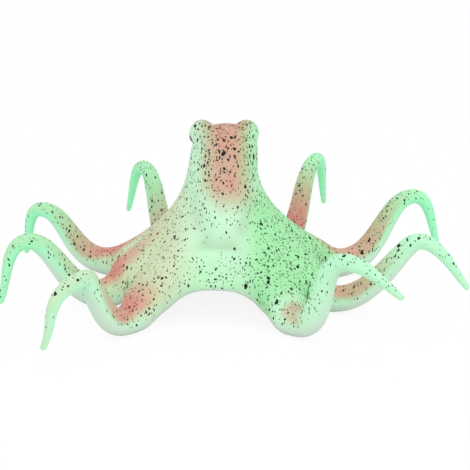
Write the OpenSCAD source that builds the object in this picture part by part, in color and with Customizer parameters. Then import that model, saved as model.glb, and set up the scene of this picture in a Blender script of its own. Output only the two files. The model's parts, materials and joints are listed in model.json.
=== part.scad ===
// Soft rubber octopus ornament, standing on the dips of its eight arms.
// Lengths are millimetres. The floor is z = 0 and +Z is up. +X is to the
// right in the photograph, and the octopus faces +Y, away from the viewer.
// An azimuth is measured from -Y, the side of the viewer, towards +X.

/* [Head] */
// Height of the crown between the eye mounds
crown_h = 59.5; // [56:0.5:63]
// Width of the head
head_w = 23; // [22:0.5:25]
// Height of the head, from its seam with the mantle to the crown
head_l = 13.5; // [12:0.5:15]
// Radius of an eye mound
mound_r = 4.4; // [4.2:0.1:5]
// Distance between the middles of the eye mounds
mound_gap = 15; // [14:0.2:17]
// How far the mounds stand to the right of the middle
mound_shift = 0.7; // [0:0.1:1]
// How far the crown leans to the right
head_shift = 1.5; // [0:0.1:2]
// How far the middle of an eye mound lies below the crown
mound_drop = 2.6; // [1.6:0.2:4]

/* [Eyes] */
// Radius of the bead
bead_r = 2.5; // [2.2:0.1:2.8]
// How far the bead stands out of its mound
bead_out = 0.5; // [0.3:0.1:0.8]
// Radius of the stem behind the bead
stem_r = 1; // [0.8:0.1:1.2]
// Length of the stem behind the middle of the bead
stem_l = 5; // [4:0.5:6]
// Room round the bead and its stem
eye_fit = 0.1; // [0.05:0.05:0.2]
// Azimuth that the left eye looks to
eye_l_az = -93; // [-110:1:-80]
// Azimuth that the right eye looks to
eye_r_az = 128; // [110:1:140]
// How far below level both eyes look, in degrees
eye_tilt = 36; // [20:1:42]

/* [Mantle] */
// How far the mantle hangs out behind the head
mantle_reach = 21.5; // [20:0.5:23]
// Height of the lowest part of the mantle
mantle_low_h = 21; // [20:0.5:23]
// How far its seam with the web lies below the head's seam, at the axis
mantle_l = 6; // [5:0.5:7]

/* [Web] */
// Radius of the neck
neck_r = 12; // [11:0.5:13]
// How far below the head's seam the web begins to spread from the neck
neck_l = 4; // [3:0.5:5.5]
// Distance from the middle to where an arm leaves the web
web_r = 36; // [35:0.5:37]
// Height of the top of an arm where it leaves the web
shoulder_h = 15.5; // [15:0.5:16.5]
// Height of the edge of the web between two arms
edge_h = 13; // [12:0.5:14]
// Thickness of the rubber between two arms
web_wall = 3; // [2.5:0.1:3.5]
// Height of the hollow under the head
hollow_h = 28; // [26:0.5:29]
// Radius of the hollow near its top
hollow_r = 10; // [9:0.5:10.5]

/* [Arms] */
// How far past the web an arm touches the floor
dip_out = 12; // [10:0.5:14]
// How far past that place the top of its arch is
arch_out = 20; // [18:0.5:22]
// Height of the middle of the arm at its arch
arch_h = 26.8; // [25:0.5:28]
// How far past the arch the tip is
tip_out = 14; // [12:0.5:16]
// Height of the tip
tip_h = 8; // [7:0.5:10]
// Radius of an arm where it leaves the web
shoulder_r = 6.4; // [6:0.1:6.8]
// Radius of an arm at the floor
dip_r = 4.7; // [4.4:0.1:5]
// Radius of an arm at its arch
arch_r = 2.7; // [2.4:0.1:2.9]
// Radius of an arm at its tip
tip_r = 1; // [0.8:0.1:1.2]
// Depth of the flat that the floor presses into an arm
floor_flat = 0.5; // [0.3:0.1:0.6]
// Gap between two stretches of an arm where it bends
bend_gap = 0.35; // [0.3:0.05:0.45]

/* [Hidden] */
// The arms in this order: left side from the viewer's end to the far end,
// then the right side from the far end to the viewer's end.
arm_az = [-38.2, -68.5, -109, -153.2, 149.8, 107, 62, 31];
// How far the outer stretch of each arm turns aside at the floor
arm_turn = [-0.9, 0.5, 5.7, 4.3, 1.2, -0.7, 12.3, 22];
// Each arm's own measure, as a share of the size for all arms
dip_shares = [1.05, 0.91, 0.95, 1.04, 1.03, 0.94, 0.88, 0.975];
dip_r_shares = [1, 1.03, 1.04, 1, 1, 1.08, 0.98, 1];
shoulder_shares = [1, 1.1, 0.86, 0.95, 1, 0.95, 1, 1];
arch_shares = [0.98, 1.01, 1.02, 0.99, 1.07, 1.055, 1.043, 0.97];
arch_h_shares = [0.91, 0.99, 0.84, 1.01, 1.1, 1.03, 1.03, 1.09];
tip_shares = [1.04, 0.96, 0.935, 1.02, 0.99, 1.015, 1.06, 1.035];
tip_h_shares = [0.92, 0.85, 0.71, 0.65, 1.2, 0.91, 1.65, 2.8];
// Handles of the curves, as shares of the step they belong to
drop_share = 0.45;
settle_share = 0.5;
rise_shares = [0.65, 0.5, 0.58, 0.5, 0.45, 0.58, 0.52, 0.8];
crest_shares = [0.15, 0.35, 0.4, 0.55, 0.55, 0.4, 0.2, 0.65];
over_shares = [1.0, 0.78, 0.9, 0.6, 0.8, 0.7, 0.4, 0.4];
fall_shares = [0.3, 0.4];
// Where on the rising stretch an arm bends, from the floor to the arch
lift_share = 0.36;
// Steps along each stretch of an arm, round it, and over a ball or a cup
sides = 12;
drop_steps = 5;
rise_steps = 4;
limb_steps = 7;
tip_steps = 9;
ball_steps = 4;
cup_steps = 3;
end_steps = 3;

// Profile of the web along an arm and between two arms, from the neck out.
// Radius: 0 at the neck and 1 where the arm leaves. Height: 0 at the
// shoulder or at the edge of the web and 1 at the neck.
ridge_r_shares = [0.02, 0.08, 0.19, 0.34, 0.5, 0.66, 0.84, 1.04];
ridge_h_shares = [1, 0.83, 0.65, 0.48, 0.34, 0.22, 0.1, -0.01];
valley_r_shares = [0, 0.04, 0.1, 0.19, 0.31, 0.46, 0.65, 0.9];
valley_h_shares = [1, 0.86, 0.71, 0.56, 0.42, 0.28, 0.13, 0];
// The underside, from the edge in to the top of the hollow
under_r_shares = [0.8, 0.58, 0.42, 0.28];
under_h_shares = [0.12, 0.3, 0.48, 0.72];
top_r_shares = [1, 0.5];
top_h_shares = [0.9, 0.98];
// Sections of the head and mantle, from the crown down to the hanging end.
// Half widths are shares of half the head, reaches are shares of the reach.
sac_h_shares = [1, 0.98, 0.93, 0.85, 0.74, 0.62, 0.5, 0.4, 0.3, 0.2, 0.12, 0.05, 0];
sac_w_shares = [0, 0.5, 0.78, 0.95, 1, 1, 1, 0.99, 0.97, 0.93, 0.85, 0.7, 0.45];
sac_back_shares = [0, 0.28, 0.42, 0.52, 0.58, 0.66, 0.76, 0.84, 0.92, 0.98, 1, 0.96, 0.88];
sac_face_shares = [0, 0.26, 0.4, 0.5, 0.52, 0.5, 0.46, 0.4, 0.3, 0.15, -0.1, -0.35, -0.55];
// Heights of the rings of the head, as shares of crown to head seam
head_ring_shares = [0.02, 0.09, 0.22, 0.42, 0.68, 1];
// Widths in degrees of a gap between two arms, how far the edge of the web
// reaches in such a gap, and how high it stands there
gap_widths = [34, 45, 68];
gap_reach_shares = [1.15, 1, 0.82];
gap_h_shares = [0.5, 1, 1.04];
// Where the columns of the web stand, from an arm to the next
lobe_shares = [0, 0.45, 0.8, 1.15];
between_shares = [0.25, 0.5, 0.75];
// How much wider than the arm its ridge on the web is
ridge_share = 1.25;
// How square the ridge is: 0.5 gives a half circle and more a softer crest
ridge_round = 0.7;
// Slope in degrees of the seam between mantle and web
seam_tilt = 31.5;
// How far the underside of the web's edge is drawn in, as a share of its wall
edge_share = 0.25;
// Overrun of the cutting blocks
over = 2;
// Least half width that a section of the mantle may have
thin = 0.01;
// Slack in degrees when an azimuth is matched with a gap between two arms
hair = 0.001;
// Step along a curve from which its direction at a cup is taken
probe = 0.1;

arm_count = len(arm_az);
head_r = head_w / 2;
head_base_h = crown_h - head_l;
mound_h = crown_h - mound_drop;
neck_h = head_base_h - neck_l;
dip_reach = web_r + dip_out;
arch_reach = dip_reach + arch_out;
tip_reach = arch_reach + tip_out;

// Small helpers for points and curves.
function toward(az) = [sin(az), -cos(az), 0];
function up(h) = [0, 0, h];
function unit(v) = v / norm(v);
function mix(a, b, t) = a + (b - a) * t;
function bezier(p, t) = p[0] * pow(1 - t, 3) + p[1] * 3 * t * pow(1 - t, 2)
    + p[2] * 3 * t * t * (1 - t) + p[3] * pow(t, 3);
function slope(p, t) = unit((p[1] - p[0]) * pow(1 - t, 2)
    + (p[2] - p[1]) * 2 * t * (1 - t) + (p[3] - p[2]) * t * t);

// Landmarks of arm i, before the whole is centred on its spread.
function outer_az(i) = arm_az[i] + arm_turn[i];
function shoulder_at(i) = toward(arm_az[i]) * web_r + up(shoulder_h * shoulder_shares[i] - shoulder_r);
function dip_lift(i) = dip_r * dip_r_shares[i] - floor_flat;
function dip_at(i) = toward(arm_az[i]) * dip_reach * dip_shares[i] + up(dip_lift(i));
function outward(i, reach) = toward(outer_az(i)) * (reach - dip_reach * dip_shares[i]);
function arch_at(i) = dip_at(i) + outward(i, arch_reach * arch_shares[i])
    + up(arch_h * arch_h_shares[i] - dip_lift(i));
function tip_at(i) = dip_at(i) + outward(i, tip_reach * tip_shares[i])
    + up(tip_h * tip_h_shares[i] - dip_lift(i));

// The three curves of arm i: down to the floor, up to the arch, over to the tip.
function drop_curve(i) = let (
        a = shoulder_at(i), b = dip_at(i), run = norm(b - a),
        way = toward(arm_az[i] + arm_turn[i] / 2)
    ) [
        a,
        a + (toward(arm_az[i]) - up(1) * drop_share) * run * drop_share,
        b - way * run * settle_share,
        b
    ];
function rise_curve(i) = let (
        a = dip_at(i), b = arch_at(i), run = norm([b.x - a.x, b.y - a.y]),
        way = toward(arm_az[i] + arm_turn[i] / 2)
    ) [a, a + way * run * rise_shares[i], b - toward(outer_az(i)) * run * crest_shares[i], b];
function fall_curve(i) = let (
        a = arch_at(i), b = tip_at(i), run = norm([b.x - a.x, b.y - a.y]),
        way = toward(outer_az(i))
    ) [
        a,
        a + way * run * over_shares[i],
        b - way * run * fall_shares[0] + up(a.z - b.z) * fall_shares[1],
        b
    ];
function limb_r(i, t) = mix(dip_r * dip_r_shares[i], arch_r, t);

// A ring of points round the place p, square to the direction d. It starts
// from the level direction square to the azimuth az.
function aside(d, az) = let (s = [cos(az), sin(az), 0]) unit(s - d * (s * d));
function ring(p, d, r, az) = let (s = aside(d, az), u = cross(s, d))
    [for (k = [0 : sides - 1]) let (a = 360 * (k + 0.5) / sides) p + s * r * cos(a) + u * r * sin(a)];
// Rings of the ball that a stretch begins with, and of the cup that it ends in.
function ball(h, d, r, az) = [for (k = [1 : ball_steps - 1]) let (a = 90 * k / ball_steps)
    ring(h - d * r * cos(a), d, r * sin(a), az)];
function cup_back(r) = sqrt(pow(r + bend_gap, 2) - r * r);
function cup(h, d, r, az) = let (g = r + bend_gap, rim = atan2(r, cup_back(r)))
    [for (k = [0 : cup_steps - 1]) let (a = rim * (1 - k / cup_steps))
        ring(h - d * g * cos(a), d, g * sin(a), az)];
// Where curve p, ending at its place t, meets the cup's rim, and the way from
// there to the end.
function cup_t(p, t, r) = t - probe * cup_back(r) / norm(bezier(p, t) - bezier(p, t - probe));
function cup_way(p, t, r) = unit(bezier(p, t) - bezier(p, cup_t(p, t, r)));
function rise_az(i, t) = arm_az[i] + arm_turn[i] * (1 + t) / 2;

// The floor flattens what would lie below it.
function lifted(rings) = [for (r = rings) [for (q = r) [q.x, q.y, max(q.z, 0)]]];

// Each stretch of arm i: a point, rings and a point.
function root_form(i) = let (
        d = drop_curve(i), c = rise_curve(i), r = limb_r(i, lift_share), h = bezier(c, lift_share),
        way = cup_way(c, lift_share, r), last = cup_t(c, lift_share, r)
    ) [
        d[0],
        lifted(concat(
            [for (k = [0 : drop_steps]) let (t = k / drop_steps, az = arm_az[i] + arm_turn[i] * t / 2)
                ring(bezier(d, t), toward(az), mix(shoulder_r, dip_r * dip_r_shares[i], t * t), az)],
            [for (k = [1 : rise_steps - 1]) let (t = last * k / rise_steps)
                ring(bezier(c, t), slope(c, t), limb_r(i, t), rise_az(i, t))],
            cup(h, way, r, rise_az(i, lift_share))
        )),
        h - way * (r + bend_gap)
    ];
function limb_form(i) = let (
        c = rise_curve(i), r = limb_r(i, lift_share), a = lift_share, h = bezier(c, a), d = slope(c, a),
        way = cup_way(c, 1, arch_r), last = cup_t(c, 1, arch_r)
    ) [
        h - d * r,
        concat(
            ball(h, d, r, rise_az(i, a)),
            [for (k = [0 : limb_steps - 1]) let (t = mix(a, last, k / limb_steps))
                ring(bezier(c, t), slope(c, t), limb_r(i, t), rise_az(i, t))],
            cup(c[3], way, arch_r, outer_az(i))
        ),
        c[3] - way * (arch_r + bend_gap)
    ];
function tip_form(i) = let (c = fall_curve(i), d = slope(c, 0), e = slope(c, 1), az = outer_az(i)) [
        c[0] - d * arch_r,
        concat(
            ball(c[0], d, arch_r, az),
            [for (k = [0 : tip_steps]) let (t = k / tip_steps)
                ring(bezier(c, t), slope(c, t), mix(arch_r, tip_r, t), az)],
            [for (k = [1 : end_steps - 1]) let (a = 90 * k / end_steps)
                ring(c[3] + e * tip_r * sin(a), e, tip_r * cos(a), az)]
        ),
        c[3] + e * tip_r
    ];

// The whole is moved so that the middle of its spread stands over the origin.
spread = [for (i = [0 : arm_count - 1]) for (r = tip_form(i)[1]) for (q = r) q];
spread_x = [for (q = spread) q.x];
spread_y = [for (q = spread) q.y];
centre = [(min(spread_x) + max(spread_x)) / 2, (min(spread_y) + max(spread_y)) / 2, 0];

// A closed skin over rings, with a point at each end.
module skin(form, n = sides) {
    rings = form[1];
    last = len(rings) - 1;
    points = concat([form[0]], [for (r = rings) for (q = r) q], [form[2]]);
    end = len(points) - 1;
    faces = concat(
        [for (k = [0 : n - 1]) [0, 1 + (k + 1) % n, 1 + k]],
        [for (j = [0 : last - 1]) for (k = [0 : n - 1])
            let (a = 1 + j * n + k, b = 1 + j * n + (k + 1) % n) each [[a, b, b + n], [a, b + n, a + n]]],
        [for (k = [0 : n - 1]) [end, 1 + last * n + k, 1 + last * n + (k + 1) % n]]
    );
    polyhedron(points = points, faces = faces, convexity = 6);
}

// The arms run from the front left round the far side to the front right.
left_count = 4;
function next_az(i) = i == arm_count - 1 ? arm_az[0]
    : i == left_count - 1 ? arm_az[left_count] - 360 : arm_az[i + 1];

// Azimuths of the web's columns, the other way round: some over each arm and
// some in each gap between two arms.
lobe_az = asin(shoulder_r / web_r);
columns = [for (i = [arm_count - 1 : -1 : 0]) let (
        gap = next_az(i) - arm_az[i], lobe = sign(gap) * min(lobe_az, abs(gap) / 3),
        edge = lobe * lobe_shares[len(lobe_shares) - 1]
    ) each concat(
        [for (s = lobe_shares) next_az(i) - lobe * s],
        [for (s = between_shares) next_az(i) - mix(edge, gap - edge, s)],
        [for (k = [len(lobe_shares) - 1 : -1 : 1]) arm_az[i] + lobe * lobe_shares[k]]
    )];

// How much of an arm's ridge a place at azimuth az and radius r has.
function arm_off(az, i) = let (d = abs(az - arm_az[i]) % 360) min(d, 360 - d);
function near_az(az) = min([for (i = [0 : arm_count - 1]) arm_off(az, i)]);
function top_at(az) = shoulder_h * [
        for (i = [0 : arm_count - 1])
            if (arm_off(az, i) == near_az(az)) shoulder_shares[i]
    ][0];
function ridge(az, r) = let (d = r * sin(min(near_az(az), 90)) / (shoulder_r * ridge_share))
    d > 1 ? 0 : pow(1 - d * d, ridge_round);

// Radius of the head and mantle at azimuth az and height z: each section is
// an ellipse whose middle lies c behind the axis.
sac_span = crown_h - mantle_low_h;
function sac(shares, z) = lookup(
    (z - mantle_low_h) / sac_span,
    [for (i = [len(shares) - 1 : -1 : 0]) [sac_h_shares[i], shares[i]]]
);
function sac_radius(az, z) = let (
        back = mantle_reach * sac(sac_back_shares, z), face = mantle_reach * sac(sac_face_shares, z),
        w = max(head_r * sac(sac_w_shares, z), thin), b = max((back + face) / 2, thin),
        c = (back - face) / 2, qa = pow(sin(az) / w, 2) + pow(cos(az) / b, 2),
        qb = cos(az) * c / (b * b), qc = pow(c / b, 2) - 1, disc = qb * qb - qa * qc
    ) z < mantle_low_h || disc < 0 ? 0 : max(0, (qb + sqrt(disc)) / qa);

// A place on a column. The head leans aside more the higher it is.
function place(az, r, z) = toward(az) * r + up(z)
    + [head_shift * max(0, z - neck_h) / (crown_h - neck_h), 0, 0];
// How wide the gap is that azimuth az lies in, and how far out the web reaches.
function gap_off(az, i) = abs((az - (arm_az[i] + next_az(i)) / 2 + 900) % 360 - 180);
function gap_width(az) = min([for (i = [0 : arm_count - 1]) let (wide = abs(next_az(i) - arm_az[i]))
    gap_off(az, i) <= wide / 2 + hair ? wide : 360]);
function in_gap(az, shares) = lookup(gap_width(az),
    [for (i = [0 : len(shares) - 1]) [gap_widths[i], shares[i]]]);
function fullness(az) = in_gap(az, gap_reach_shares);
function edge_at(az) = edge_h * in_gap(az, gap_h_shares);
// Radius and height of the web's upper side at azimuth az, on ring k.
function flank(az, k) = let (
        full = fullness(az), w = ridge(az, mix(neck_r, web_r, valley_r_shares[k] * full)),
        r = mix(neck_r, web_r, mix(valley_r_shares[k] * full, ridge_r_shares[k], w)),
        low = mix(edge_at(az), neck_h, valley_h_shares[k]), high = mix(top_at(az), neck_h, ridge_h_shares[k])
    ) [r, mix(low, high, w)];
function outer_ring(k) = [for (az = columns) let (f = flank(az, k))
    place(az, max(f[0], sac_radius(az, f[1])), f[1])];
last_k = len(valley_r_shares) - 1;
function under_r(az, k) = mix(hollow_r, web_r, under_r_shares[k] * mix(fullness(az), 1, ridge(az, web_r)));
function under_z(az, k) = let (
        w = ridge(az, mix(neck_r, web_r, under_r_shares[k])),
        low = mix(edge_at(az) - web_wall, top_at(az) - 2 * shoulder_r, w)
    ) mix(low, hollow_h, under_h_shares[k]);

head_rings = [for (s = head_ring_shares) let (z = mix(crown_h, head_base_h, s))
    [for (az = columns) place(az, sac_radius(az, z), z)]];
edge_ring = [for (az = columns) let (f = flank(az, last_k), w = ridge(az, f[0]))
    place(az, f[0] - web_wall * (1 - w) * edge_share, f[1] - mix(web_wall, 2 * shoulder_r, w))];
under_rings = [for (k = [0 : len(under_r_shares) - 1])
    [for (az = columns) place(az, under_r(az, k), under_z(az, k))]];
top_rings = [for (k = [0 : len(top_r_shares) - 1])
    [for (az = columns) place(az, hollow_r * top_r_shares[k], hollow_h * top_h_shares[k])]];
head_form = [up(crown_h), head_rings, up(head_base_h)];
trunk_form = [
    up(head_base_h),
    concat([head_rings[len(head_rings) - 1]], [for (k = [0 : last_k]) outer_ring(k)],
        [edge_ring], under_rings, top_rings),
    up(hollow_h)
];

// Everything above the slanting seam between mantle and web.
module seam_block() {
    size = 2 * web_r + over;
    translate(up(head_base_h - mantle_l))
        rotate([seam_tilt, 0, 0])
            translate([-size / 2, -size / 2, 0])
                cube(size);
}
// The room inside the planes in which the arms leave the web.
module arm_planes() {
    corners = [for (i = [0 : arm_count - 1]) let (
            half = (next_az(i) - arm_az[i]) / 2,
            p = toward(arm_az[i] + half) * web_r / cos(half)
        ) [p.x, p.y]];
    translate(up(-over))
        linear_extrude(crown_h + 2 * over)
            polygon(corners);
}

// The left side is -1 and the right side 1.
function mound_at(side) = [mound_shift + side * mound_gap / 2, 0, mound_h];
function eye_az(side) = side < 0 ? eye_l_az : eye_r_az;
function eye_way(side) = toward(eye_az(side)) * cos(eye_tilt) - up(sin(eye_tilt));
function eye_at(side) = mound_at(side) + eye_way(side) * (mound_r + bead_out - bead_r);
// Turns what stands on +Z to point from the eye into its mound.
module inward(side) {
    rotate([0, 0, eye_az(side) - 90])
        rotate([0, eye_tilt - 90, 0])
            children();
}
module mound(side) {
    translate(mound_at(side))
        sphere(mound_r);
}
module bead(side, fit) {
    translate(eye_at(side))
        inward(side) {
            sphere(bead_r + fit);
            cylinder(r = stem_r + fit, h = stem_l + fit);
        }
}

module head() {
    color("darksalmon")
        translate(-centre)
            difference() {
                union() {
                    skin(head_form, len(columns));
                    mound(-1);
                    mound(1);
                }
                bead(-1, eye_fit);
                bead(1, eye_fit);
            }
}
module mantle() {
    color("palegreen")
        translate(-centre)
            intersection() {
                skin(trunk_form, len(columns));
                seam_block();
            }
}
module web() {
    color("lightgreen")
        translate(-centre)
            difference() {
                intersection() {
                    skin(trunk_form, len(columns));
                    arm_planes();
                }
                seam_block();
            }
}
module eye_l() {
    color("black")
        translate(-centre)
            bead(-1, 0);
}
module eye_r() {
    color("black")
        translate(-centre)
            bead(1, 0);
}
module arm_root(i) {
    color("salmon")
        translate(-centre)
            skin(root_form(i));
}
module arm_limb(i) {
    color("palegreen")
        translate(-centre)
            skin(limb_form(i));
}
module arm_tip(i) {
    color("aquamarine")
        translate(-centre)
            skin(tip_form(i));
}

// The hinges and the feet: where each arm bends, the axis there, and its dip.
function lift_at(i) = bezier(rise_curve(i), lift_share);
function lift_axis(i) = aside(slope(rise_curve(i), lift_share), rise_az(i, lift_share));
function curl_axis(i) = aside(slope(fall_curve(i), 0), outer_az(i));
for (i = [0 : arm_count - 1]) {
    echo(arm = i, lift = lift_at(i) - centre, lift_axis = lift_axis(i));
    echo(arm = i, curl = arch_at(i) - centre, curl_axis = curl_axis(i), dip = dip_at(i) - centre);
}
echo(centre = centre);

web();
mantle();
head();
eye_l();
eye_r();
arm_root(0);  // arm_root_a4
arm_root(1);  // arm_root_a3
arm_root(2);  // arm_root_a2
arm_root(3);  // arm_root_a1
arm_root(4);  // arm_root_b1
arm_root(5);  // arm_root_b2
arm_root(6);  // arm_root_b3
arm_root(7);  // arm_root_b4
arm_limb(0);  // arm_limb_a4
arm_limb(1);  // arm_limb_a3
arm_limb(2);  // arm_limb_a2
arm_limb(3);  // arm_limb_a1
arm_limb(4);  // arm_limb_b1
arm_limb(5);  // arm_limb_b2
arm_limb(6);  // arm_limb_b3
arm_limb(7);  // arm_limb_b4
arm_tip(0);  // arm_tip_a4
arm_tip(1);  // arm_tip_a3
arm_tip(2);  // arm_tip_a2
arm_tip(3);  // arm_tip_a1
arm_tip(4);  // arm_tip_b1
arm_tip(5);  // arm_tip_b2
arm_tip(6);  // arm_tip_b3
arm_tip(7);  // arm_tip_b4
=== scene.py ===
"""Soft rubber octopus ornament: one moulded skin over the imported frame, with bead eyes.

Sizes are millimetres in the ornament's own axes, which meet at the middle of its web, and
become metres in the frame when a mesh is made.
"""

import json
import math

import bpy
import numpy as np
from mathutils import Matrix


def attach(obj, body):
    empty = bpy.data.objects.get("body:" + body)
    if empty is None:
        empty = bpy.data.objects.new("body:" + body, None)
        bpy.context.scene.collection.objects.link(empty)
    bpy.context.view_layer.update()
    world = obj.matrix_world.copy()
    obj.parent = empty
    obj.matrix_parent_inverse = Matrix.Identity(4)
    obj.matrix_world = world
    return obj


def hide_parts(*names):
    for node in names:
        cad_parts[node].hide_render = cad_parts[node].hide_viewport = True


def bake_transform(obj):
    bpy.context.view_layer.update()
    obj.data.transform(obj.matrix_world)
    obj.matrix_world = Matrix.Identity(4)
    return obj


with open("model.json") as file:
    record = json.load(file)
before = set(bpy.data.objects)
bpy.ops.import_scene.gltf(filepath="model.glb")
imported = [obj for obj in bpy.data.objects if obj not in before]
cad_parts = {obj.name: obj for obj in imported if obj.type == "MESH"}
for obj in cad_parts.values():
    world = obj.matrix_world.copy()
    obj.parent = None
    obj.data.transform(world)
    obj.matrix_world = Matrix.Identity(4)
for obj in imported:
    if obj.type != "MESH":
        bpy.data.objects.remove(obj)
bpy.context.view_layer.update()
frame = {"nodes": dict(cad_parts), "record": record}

MM = 0.001
# From the viewer's end of the left side to the far end, then back along the right side
ARMS = ["a4", "a3", "a2", "a1", "b1", "b2", "b3", "b4"]
# Numbers of the parts that the skin is divided into: torso, then limbs, then tips
TORSO = 0
LIMBS = 1
TIPS = LIMBS + len(ARMS)
JOINTS = {joint["name"]: joint for joint in frame["record"]["behaviour"]["joints"]}
FEET = {mount["name"]: mount for mount in frame["record"]["mounts"]}

# The hollow's opening stands round the middle of the web, which is where the sizes start from.
HOLLOW = frame["record"]["physics"]["openings"][0]["box_m"]
MIDDLE = np.mean(HOLLOW, axis=0) / MM * (1, 1, 0)

# Head and mantle
CROWN_H = 59.5
HEAD_W = 23.0
NECK_H = 42.0
NECK_R = 12.0
# Height above the neck over which the head comes to its radius
NECK_EASE = 8.0
MANTLE_REACH = 21.5
MANTLE_LOW_H = 21.0
# How far the crown leans aside
HEAD_SHIFT = 1.5
# The point in the head from which its skin is pushed out over the eye mounds
HEAD_CORE = (0.7, 0.0, 50.0)
MOUND_R = 4.3
MOUND_X = (-6.8, 8.2)
MOUND_H = 56.9
MOUND_BLEND = 2.0

# Eyes: where each looks and how far down, the soft lid round the bead and the socket under it
EYE_AZ = (-93.0, 128.0)
EYE_TILT = 36.0
EYE_RIM_R = 2.3
EYE_RIM_H = 0.05
EYE_RIM_W = 0.4
SOCKET_R = 2.0
SOCKET_DEPTH = 1.2
# The share of the socket's radius that is flat
SOCKET_FLAT = 0.6

# Web
WEB_R = 36.0
SHOULDER_H = 15.5
EDGE_H = 13.0
WEB_WALL = 3.0
HOLLOW_H = 28.0
HOLLOW_R = 10.0

# Arms, with one value for each of ARMS where a row has eight. A row of shares belongs to the
# plain size of the same name.
SHOULDER_R = 6.4
DIP_R = 4.7
ARCH_R = 2.7
TIP_R = 1.0
TIP_REACH = 82.0
TIP_H = 8.0
# How deep the floor flattens the dip
FLOOR_FLAT = 0.5
# Azimuth of each arm at the web, and how much farther it has turned by its arch
ARM_AZ = np.array([-38.2, -68.5, -109.0, -153.2, 149.8, 107.0, 62.0, 31.0])
ARM_TURN = np.array([-0.9, 0.5, 5.7, 4.3, 1.2, -0.7, 12.3, 22.0])
DIP_R_SHARES = np.array([1, 1.03, 1.04, 1, 1, 1.08, 0.98, 1])
SHOULDER_SHARES = np.array([1, 1.02, 0.86, 0.95, 1, 0.95, 1, 1])
TIP_SHARES = np.array([1.04, 0.96, 0.935, 1.02, 0.99, 1.015, 1.06, 1.035])
TIP_H_SHARES = np.array([0.92, 0.85, 0.71, 0.65, 1.2, 0.91, 1.65, 2.8])
# Handles of an arm's curves as shares of each curve's run: at the dip, before the arch and
# after it, then the same for all arms at the web, before the dip and, back and up, at the tip
RISE_SHARES = np.array([0.65, 0.5, 0.58, 0.5, 0.45, 0.58, 0.52, 0.8])
CREST_SHARES = np.array([0.15, 0.35, 0.4, 0.55, 0.55, 0.4, 0.2, 0.65])
OVER_SHARES = np.array([1.0, 0.78, 0.9, 0.6, 0.8, 0.7, 0.4, 0.4])
DROP_SHARE = 0.45
SETTLE_SHARE = 0.5
FALL_SHARES = (0.3, 0.4)

# Sections of head and mantle, from the crown down: height, half width, reach behind
# the axis and reach before it, as shares of the sac's own sizes.
SAC_SHARES = np.array([
    [1.0, 0.0, 0.0, 0.0],
    [0.98, 0.5, 0.28, 0.26],
    [0.93, 0.78, 0.42, 0.4],
    [0.85, 0.95, 0.52, 0.5],
    [0.74, 1.0, 0.58, 0.52],
    [0.62, 1.0, 0.66, 0.5],
    [0.5, 1.0, 0.76, 0.46],
    [0.4, 0.99, 0.84, 0.4],
    [0.3, 0.97, 0.92, 0.3],
    [0.2, 0.93, 0.98, 0.15],
    [0.12, 0.85, 1.0, -0.1],
    [0.05, 0.7, 0.96, -0.35],
    [0.0, 0.45, 0.88, -0.55],
])
# Profile of the web from the neck out: radius and height between two arms, then the
# same along an arm's ridge.
FLANK_SHARES = np.array([
    [0.0, 1.0, 0.02, 1.0],
    [0.04, 0.86, 0.08, 0.83],
    [0.1, 0.71, 0.19, 0.65],
    [0.19, 0.56, 0.34, 0.48],
    [0.31, 0.42, 0.5, 0.34],
    [0.46, 0.28, 0.66, 0.22],
    [0.65, 0.13, 0.84, 0.1],
    [0.9, 0.0, 1.04, -0.01],
])
# Underside from the web's edge in, and then the roof of the hollow: radius and height.
UNDER_SHARES = np.array([[0.8, 0.12], [0.58, 0.3], [0.42, 0.48], [0.28, 0.72]])
ROOF_SHARES = np.array([[1.0, 0.9], [0.5, 0.98]])
# What the web does in gaps of so many degrees between two arms: how far it reaches out,
# how high its lower edge lies and how high its upper side ends, as shares of its plain sizes
GAP_WIDTHS = (34.0, 45.0, 68.0)
GAP_REACH_SHARES = (1.26, 1.0, 0.82)
GAP_H_SHARES = (0.5, 1.0, 0.96)
GAP_TOP_SHARES = (0.9, 1.0, 0.96)
# Webbing that goes on along the roots of two arms that stand close together: how far it
# stands out, the gaps at which it is whole and nil, what it keeps off the middle of the gap,
# and the stations over which it runs out
FLARE = 6.0
FLARE_GAPS = (34.0, 45.0)
FLARE_ROOM = 0.25
FLARE_RUN = (-0.2, 1.1)
# Where the columns stand over an arm's ridge, and between two ridges
LOBE_SHARES = np.array([-1.15, -0.8, -0.45, 0.0, 0.45, 0.8, 1.15])
BETWEEN_SHARES = np.array([0.25, 0.5, 0.75])
# A ridge takes at most one part in this many of the gap beside it
GAP_PARTS = 3
# Half width of a ridge as shares of the shoulder's radius, in the gaps of FLARE_GAPS, and the
# power that rounds its crest
RIDGE_SHARES = (1.45, 1.25)
RIDGE_POWER = 0.7
# Width of the fillet between mantle and web, and of the crease that it leaves, where painted shade is
# laid
UNION_BLEND = 1.6
CREASE_W = 2.0
# How far the web's lower edge lies in, as a share of its wall
EDGE_SHARE = 0.25

# Mesh counts before subdivision, and how far the first ring lies from the crown's pole in
# steps between rings
HEAD_RINGS = 18
FIRST_RING = 0.35
FLANK_RINGS = 18
DROP_RINGS = 6
RISE_RINGS = 13
FALL_RINGS = 14
END_RINGS = 3
LEVELS = 2
# Rows that the table of the head's sections is drawn out to, and the least size of a section
SAC_ROWS = 400
LEAST_SIZE = 0.01

# Stations along an arm: 0 at the web, 1 at the floor, 2 at the arch, 3 at the tip. They give where limb
# and tip begin.
LIMB_FROM = 1.1
TIP_FROM = 1.8


def toward(az):
    """Level unit vector at azimuth az in degrees, measured from -Y towards +X."""
    a = np.radians(az)
    return np.stack([np.sin(a), -np.cos(a), np.zeros_like(a)], axis=-1)


def across(az):
    """Level unit vector square to toward(az), on the side of the larger azimuths."""
    a = np.radians(az)
    return np.stack([np.cos(a), np.sin(a), np.zeros_like(a)], axis=-1)


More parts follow.
